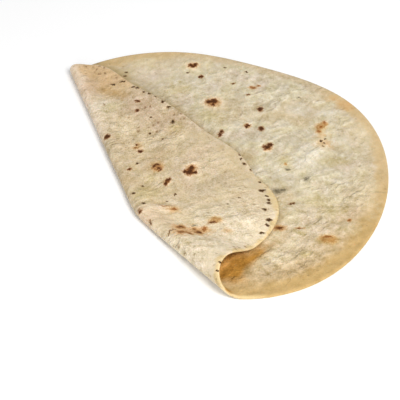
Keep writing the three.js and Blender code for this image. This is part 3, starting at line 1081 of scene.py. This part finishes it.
def dough_material(name, side, looks, tints):
    """Griddled dough: mottled pale skin, tinted by place, with scorches and a fine floury grain, and with
    painted light and shade: raised places lighter, hollows darker, and some tints that are painted shade and
    glow.
    """
    material = bpy.data.materials.new(name)
    nodes = Nodes(material)
    skin = Skin(nodes, side.creases["facing"])
    colour = mottled(nodes, skin)
    colour = tinted(nodes, skin, colour, tints)
    colour = specked(nodes, skin, colour, looks["speck_share"])
    colour = stained(nodes, skin, colour, side)
    strength = mottling_strength(nodes, skin, looks["upper_mottling"])
    inputs = {
        "Base Color": toned_and_painted_shade(nodes, skin, colour, strength, looks["grain_shade"]),
        "Roughness": nodes.ranged(skin.fields["patch"], *ROUGHNESS_RISE, *SKIN_ROUGHNESS),
        "Specular IOR Level": SKIN_SPECULAR,
        "Subsurface Weight": SUBSURFACE_WEIGHT,
        "Subsurface Radius": SUBSURFACE_RADIUS,
        "Subsurface Scale": SUBSURFACE_SCALE * MM,
        "Normal": skin_bump(nodes, skin, strength),
    }
    nodes.surface(inputs)
    return material


def base_material():
    """The face on top of the base and under the flap."""
    tints = [
        Tint(LOWER_GOLD, 0.28, ("along", 0, -70)),
        Tint(RIM_SMOOTH, 0.38, ("inside", 28, 10), ("along", 60, 20)),
        Tint(LOWER_TAN, 0.45, ("inside", 32, 14), ("along", -30, -60)),
        Tint(RIM_DULL, 0.7, ("inside", 8, 3)),
        Tint(RIM_GOLD, 0.3, ("inside", 26, 12), ("along", 104, 126)),
        # Painted shadow on the base beside the flap's upper edge
        Tint(FLAP_EDGE_PAINTED_SHADOW, 0.4, ("covered", -16, -5), ("along", 60, 85)),
        Tint(RIM_GOLD, 0.75, ("inside", 10, 4), ("along", 66, 46)),
        Tint(RIM_GOLD, 0.75, ("inside", 11, 6), ("along", 124, 134)),
        Tint(RIM_LOWER, 0.8, ("inside", 14, 7), ("along", -20, -60)),
        # Painted shadow on the base close along the flap's edge
        Tint(FLAP_EDGE_PAINTED_SHADOW, 0.7, ("covered", -7, -1), ("along", 0, 25)),
        Tint(FLAP_EDGE_PAINTED_SHADOW, 0.6, ("covered", -2.5, 0)),
        Tint(MOUTH_TAN, 0.8, ("covered", -26, -13), ("along", -46, -58), ("inside", 4, 10)),
        # The next three tints are painted light inside the mouth: warm shade near the flap's lip, a glow on
        # the base in the flap's shadow, and warm shade on the bend's inner wall
        Tint(MOUTH_PAINTED_GOLDEN_SHADE, 0.95, ("covered", -18, -9), ("along", -46, -58), ("inside", 9, 17)),
        Tint(MOUTH_PAINTED_GLOW, 0.95, ("covered", 4, 11), ("along", -46, -58), ("inside", 6, 12)),
        Tint(MOUTH_PAINTED_GOLDEN_SHADE, 0.95, ("over", 3, 10), ("along", -40, -54)),
        Tint(RIM_CREAM, 0.9, ("over", -14, -4), ("inside", 2.4, 0.4)),
    ]
    return dough_material("dough_inner_face", BASE_SIDE, BASE_LOOKS, tints)


def flap_material():
    """The face on top of the flap and under the base."""
    tints = [
        Tint(FLAP_TAN, 0.4, ("along", -50, 15)),
        Tint(CORNER_TAN, 0.8, ("along", 96, 122)),
        # Painted light on the side of the bend near the corner
        Tint(FOLD_PAINTED_LIGHT, 0.65, ("over", 13, 7), ("along", 60, 90)),
        Tint(MOUTH_PINK, 0.6, ("along", 0, -40)),
        Tint(RIM_PALE, 0.5, ("inside", 2.6, 0.4)),
        Tint(RIM_CREAM, 0.9, ("inside", 3.2, 0.6), ("along", 20, -25)),
    ]
    return dough_material("dough_outer_face", FLAP_SIDE, FLAP_LOOKS, tints)


def add_object(name, data):
    thing = bpy.data.objects.new(name, data)
    bpy.context.scene.collection.objects.link(thing)
    return thing


def make_bread():
    mesh, shift = bread_mesh()
    mesh.materials.append(base_material())
    mesh.materials.append(flap_material())
    bread = add_object("folded_paratha", mesh)
    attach(bread, "root")
    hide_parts("paratha")
    return shift


# Floor, light and camera: sizes and places in metres, the floor's drop under the bread in millimetres
FLOOR_SIZE = 6
FLOOR_DROP = 0.05
FLOOR_COLOUR = (0.96, 0.96, 0.96, 1)
FLOOR_ROUGHNESS = 0.9
SKY_COLOUR = (1, 1, 1, 1)
SKY_STRENGTH = 0.56
KEY_LIGHT = {"place": (0.12, -0.8, 0.98), "size": 0.7, "power": 12.5}
FILL_LIGHT = {"place": (-0.6, -0.85, 0.35), "size": 0.6, "power": 2.5}


def make_floor():
    bpy.ops.mesh.primitive_plane_add(size=FLOOR_SIZE, location=(0, 0, -FLOOR_DROP * MM))
    floor = bpy.context.object
    floor.name = "floor"
    material = bpy.data.materials.new("floor_white")
    Nodes(material).surface({"Base Color": FLOOR_COLOUR, "Roughness": FLOOR_ROUGHNESS})
    floor.data.materials.append(material)


def aim(thing, place, target):
    direction = Vector(target) - Vector(place)
    thing.matrix_world = Matrix.Translation(place) @ direction.to_track_quat("-Z", "Y").to_matrix().to_4x4()


def make_lights():
    world = bpy.data.worlds.new("studio")
    bpy.context.scene.world = world
    world.use_nodes = True
    background = world.node_tree.nodes["Background"]
    background.inputs["Color"].default_value = SKY_COLOUR
    background.inputs["Strength"].default_value = SKY_STRENGTH
    add_light("key", **KEY_LIGHT)
    add_light("fill", **FILL_LIGHT)


def add_light(name, place, size, power):
    light = bpy.data.lights.new(name, "AREA")
    light.shape = "DISK"
    light.size = size
    light.energy = power
    aim(add_object(name, light), place, (0, 0, 0))


def make_camera(shift):
    """The photograph's camera, aimed at the table point that it has in its middle."""
    camera = bpy.data.cameras.new("camera")
    camera.sensor_width = SENSOR_WIDTH
    camera.lens = SENSOR_WIDTH * FOCAL_PIXELS / PHOTO_PIXELS
    holder = add_object("camera", camera)
    level = CAMERA_DISTANCE * math.cos(CAMERA_ELEVATION)
    target = Vector((0, 0, 0)) - Vector(shift) * MM
    place = target + Vector((
        -level * math.sin(CAMERA_TURN) * MM,
        -level * math.cos(CAMERA_TURN) * MM,
        CAMERA_DISTANCE * math.sin(CAMERA_ELEVATION) * MM,
    ))
    aim(holder, place, target)
    bpy.context.scene.camera = holder


bread_shift = make_bread()
make_floor()
make_lights()
make_camera(bread_shift)
bpy.context.scene.view_settings.view_transform = "Standard"
